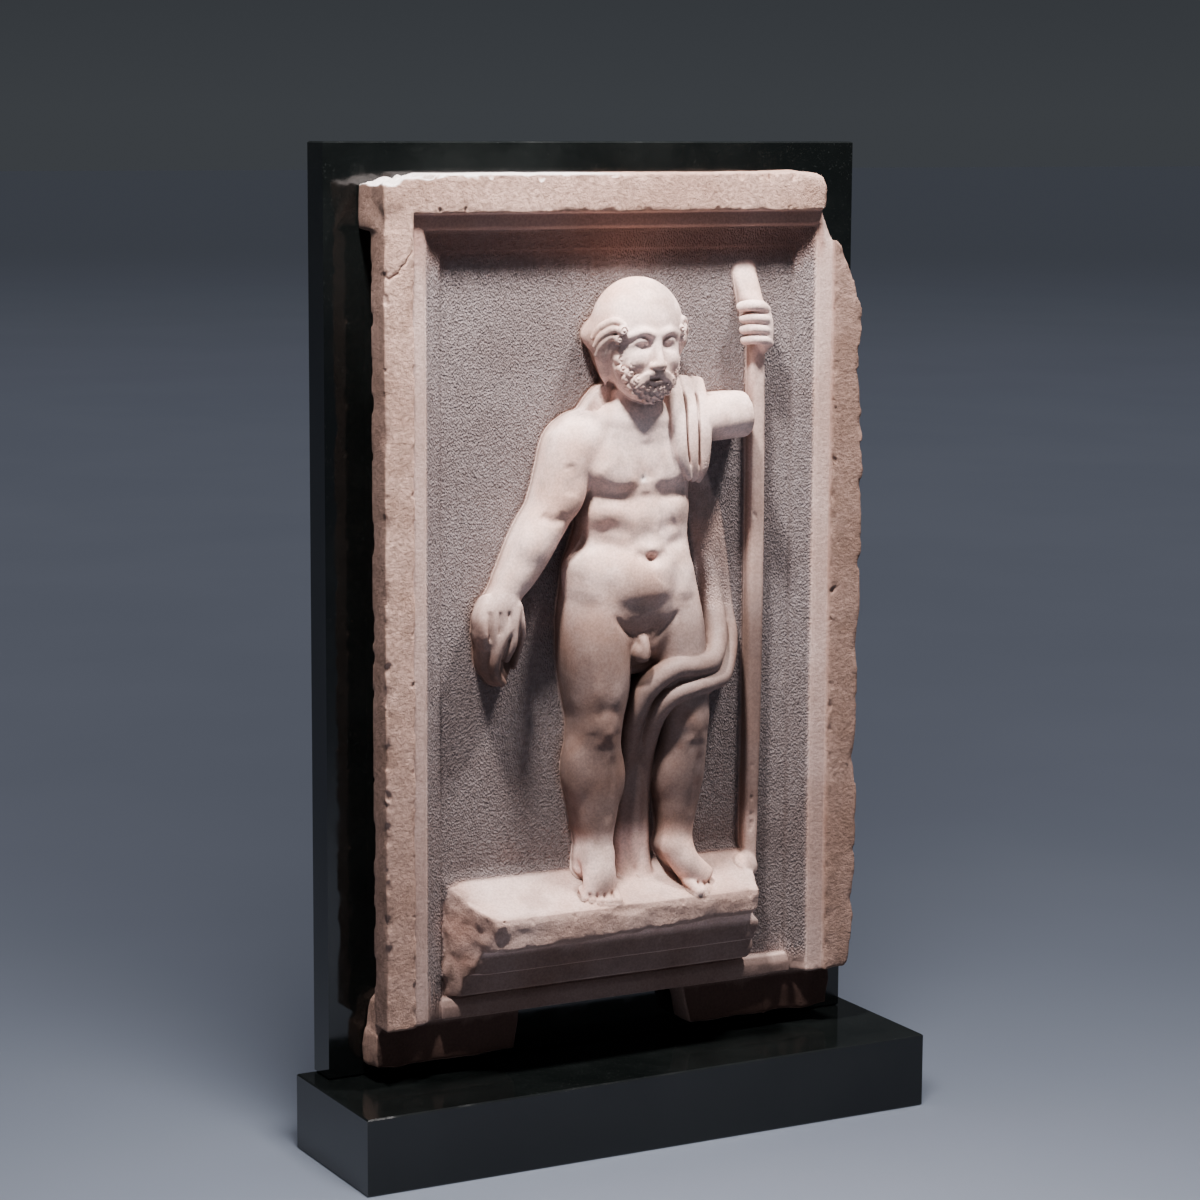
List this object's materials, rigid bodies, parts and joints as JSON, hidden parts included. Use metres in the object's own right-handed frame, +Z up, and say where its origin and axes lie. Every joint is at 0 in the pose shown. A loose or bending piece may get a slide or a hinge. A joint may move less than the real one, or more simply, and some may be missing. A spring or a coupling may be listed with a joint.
{
  "type": "carved relief panel",
  "caption": "Carved marble relief in a moulded frame, a bearded draped man with a staff on a ledge, held upright on a polished black slab and plinth.",
  "frame": {"origin": "middle of the underside of the plinth", "axes": "+Z up, the carved face looks to -Y, +X to the viewer's right"},
  "size_m": [0.528, 0.142, 0.83],
  "materials": {
    "pink_marble": "weathered, partly pecked",
    "polished_black_stone": "polished"
  },
  "bodies": {
    "root": {"relief_panel": "pink_marble", "back_slab": "polished_black_stone", "base_block": "polished_black_stone"}
  },
  "joints": []
}
